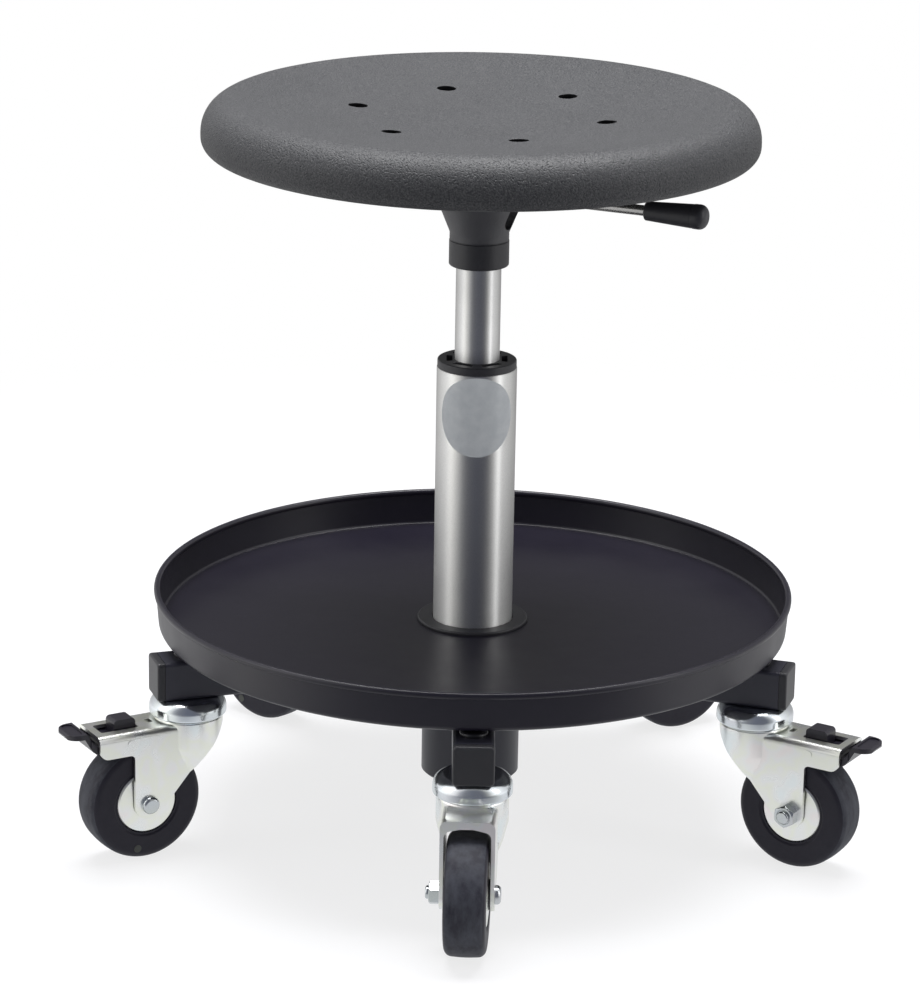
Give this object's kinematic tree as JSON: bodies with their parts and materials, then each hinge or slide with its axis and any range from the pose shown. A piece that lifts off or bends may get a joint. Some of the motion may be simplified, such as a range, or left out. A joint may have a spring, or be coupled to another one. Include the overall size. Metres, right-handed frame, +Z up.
{
  "type": "height-adjustable creeper stool",
  "caption": "Round moulded seat on a gas-lift column over a round tool tray and a star base with swivel castors, some with foot brakes.",
  "frame": {"origin": "on the floor under the column axis, where the castors stand", "axes": "+Z up along the column; the front arm points along -Y and +X is to the right for someone facing the stool from the front arm's end"},
  "size_m": [0.5064, 0.461, 0.4655],
  "materials": {
    "seat_foam": "self-skinned polyurethane foam with a leather grain, satin",
    "board_paint": "plywood, painted black",
    "dark_cast": "cast metal, dark grey satin paint",
    "dark_screw": "black oxide steel screws",
    "powder_coat": "black satin powder coat",
    "tray_coat": "black satin powder coat on pressed sheet",
    "brushed_tube": "ground steel tube, satin, brushed along its length",
    "cylinder_steel": "fine ground steel cylinder",
    "bearing_steel": "plain turned steel, oiled",
    "lever_steel": "plated steel rod",
    "zinc_plate": "bright zinc plate, slightly blue",
    "tyre_rubber": "solid black rubber, matt with a worn tread",
    "black_plastic": "moulded black nylon"
  },
  "bodies": {
    "base": {"base_hub": "powder_coat", "arm_front": "powder_coat", "arm_right": "powder_coat", "arm_back_right": "powder_coat", "arm_back_left": "powder_coat", "arm_left": "powder_coat", "arm_end_caps": "black_plastic", "castor_cups": "zinc_plate", "castor_races": "bearing_steel", "castor_bolts": "zinc_plate", "tray": "tray_coat", "tray_collar": "black_plastic", "stand_tube": "brushed_tube", "tube_foot_plate": "bearing_steel", "foot_bearing": "bearing_steel", "guide_bush": "black_plastic"},
    "piston": {"piston_rod": "bearing_steel", "rod_clip": "bearing_steel", "upper_race": "bearing_steel"},
    "seat": {"gas_cylinder": "cylinder_steel", "cylinder_ends": "bearing_steel", "seat_socket": "dark_cast", "socket_sleeve": "black_plastic", "seat_board": "board_paint", "seat_screws": "dark_screw", "seat_pad": "seat_foam", "lever_pin": "bearing_steel"},
    "lever": {"height_lever": "lever_steel", "lever_grip": "black_plastic"},
    "button": {"valve_button": "bearing_steel"},
    "castor_front": {"fork_front": "zinc_plate", "axle_front": "zinc_plate"},
    "wheel_front": {"tyre_front": "tyre_rubber", "wheel_core_front": "black_plastic", "wheel_caps_front": "zinc_plate"},
    "castor_right": {"fork_right": "zinc_plate", "axle_right": "zinc_plate", "brake_pin_right": "zinc_plate"},
    "wheel_right": {"tyre_right": "tyre_rubber", "wheel_core_right": "black_plastic", "wheel_caps_right": "zinc_plate"},
    "brake_right": {"brake_pedal_right": "black_plastic"},
    "castor_back_right": {"fork_back_right": "zinc_plate", "axle_back_right": "zinc_plate"},
    "wheel_back_right": {"tyre_back_right": "tyre_rubber", "wheel_core_back_right": "black_plastic", "wheel_caps_back_right": "zinc_plate"},
    "castor_back_left": {"fork_back_left": "zinc_plate", "axle_back_left": "zinc_plate"},
    "wheel_back_left": {"tyre_back_left": "tyre_rubber", "wheel_core_back_left": "black_plastic", "wheel_caps_back_left": "zinc_plate"},
    "castor_left": {"fork_left": "zinc_plate", "axle_left": "zinc_plate", "brake_pin_left": "zinc_plate"},
    "wheel_left": {"tyre_left": "tyre_rubber", "wheel_core_left": "black_plastic", "wheel_caps_left": "zinc_plate"},
    "brake_left": {"brake_pedal_left": "black_plastic"}
  },
  "joints": [
    {"name": "seat_swivel", "type": "hinge", "parent": "base", "child": "piston", "pos_m": [0, 0, 0.05], "axis": [0, 0, 1], "continuous": true},
    {"name": "seat_lift", "type": "slide", "parent": "piston", "child": "seat", "axis": [0, 0, 1], "range_m": [-0.056, 0.074]},
    {"name": "lever_lift", "type": "hinge", "parent": "seat", "child": "lever", "pos_m": [0.01416, -0.0063, 0.409], "axis": [-0.4067, -0.9135, 0], "range_deg": [0, 8], "stiffness_Nm_per_rad": 0.6},
    {"name": "valve_press", "type": "slide", "parent": "seat", "child": "button", "axis": [0, 0, 1], "range_m": [-0.0025, 0]},
    {"name": "swivel_front", "type": "hinge", "parent": "base", "child": "castor_front", "pos_m": [0, -0.186, 0.09], "axis": [0, 0, 1], "continuous": true},
    {"name": "spin_front", "type": "hinge", "parent": "castor_front", "child": "wheel_front", "pos_m": [-0.00237, -0.21992, 0.0375], "axis": [0.9976, -0.0698, 0], "continuous": true},
    {"name": "swivel_right", "type": "hinge", "parent": "base", "child": "castor_right", "pos_m": [0.1769, -0.05748, 0.09], "axis": [0, 0, 1], "continuous": true},
    {"name": "spin_right", "type": "hinge", "parent": "castor_right", "child": "wheel_right", "pos_m": [0.20573, -0.07549, 0.0375], "axis": [0.5299, 0.848, 0], "continuous": true},
    {"name": "brake_rock_right", "type": "hinge", "parent": "castor_right", "child": "brake_right", "pos_m": [0.21591, -0.08185, 0.0795], "axis": [0.5299, 0.848, 0], "range_deg": [0, 12]},
    {"name": "swivel_back_right", "type": "hinge", "parent": "base", "child": "castor_back_right", "pos_m": [0.10933, 0.15048, 0.09], "axis": [0, 0, 1], "continuous": true},
    {"name": "spin_back_right", "type": "hinge", "parent": "castor_back_right", "child": "wheel_back_right", "pos_m": [0.13962, 0.16591, 0.0375], "axis": [-0.454, 0.891, 0], "continuous": true},
    {"name": "swivel_back_left", "type": "hinge", "parent": "base", "child": "castor_back_left", "pos_m": [-0.10933, 0.15048, 0.09], "axis": [0, 0, 1], "continuous": true},
    {"name": "spin_back_left", "type": "hinge", "parent": "castor_back_left", "child": "wheel_back_left", "pos_m": [-0.13575, 0.17187, 0.0375], "axis": [-0.6293, -0.7771, 0], "continuous": true},
    {"name": "swivel_left", "type": "hinge", "parent": "base", "child": "castor_left", "pos_m": [-0.1769, -0.05748, 0.09], "axis": [0, 0, 1], "continuous": true},
    {"name": "spin_left", "type": "hinge", "parent": "castor_left", "child": "wheel_left", "pos_m": [-0.20652, -0.07417, 0.0375], "axis": [0.4909, -0.8712, 0], "continuous": true},
    {"name": "brake_rock_left", "type": "hinge", "parent": "castor_left", "child": "brake_left", "pos_m": [-0.21697, -0.08006, 0.0795], "axis": [0.4909, -0.8712, 0], "range_deg": [0, 12]}
  ],
  "couplings": [
    {"joint": "valve_press", "follows": "lever_lift", "m_per_rad": -0.0155}
  ]
}
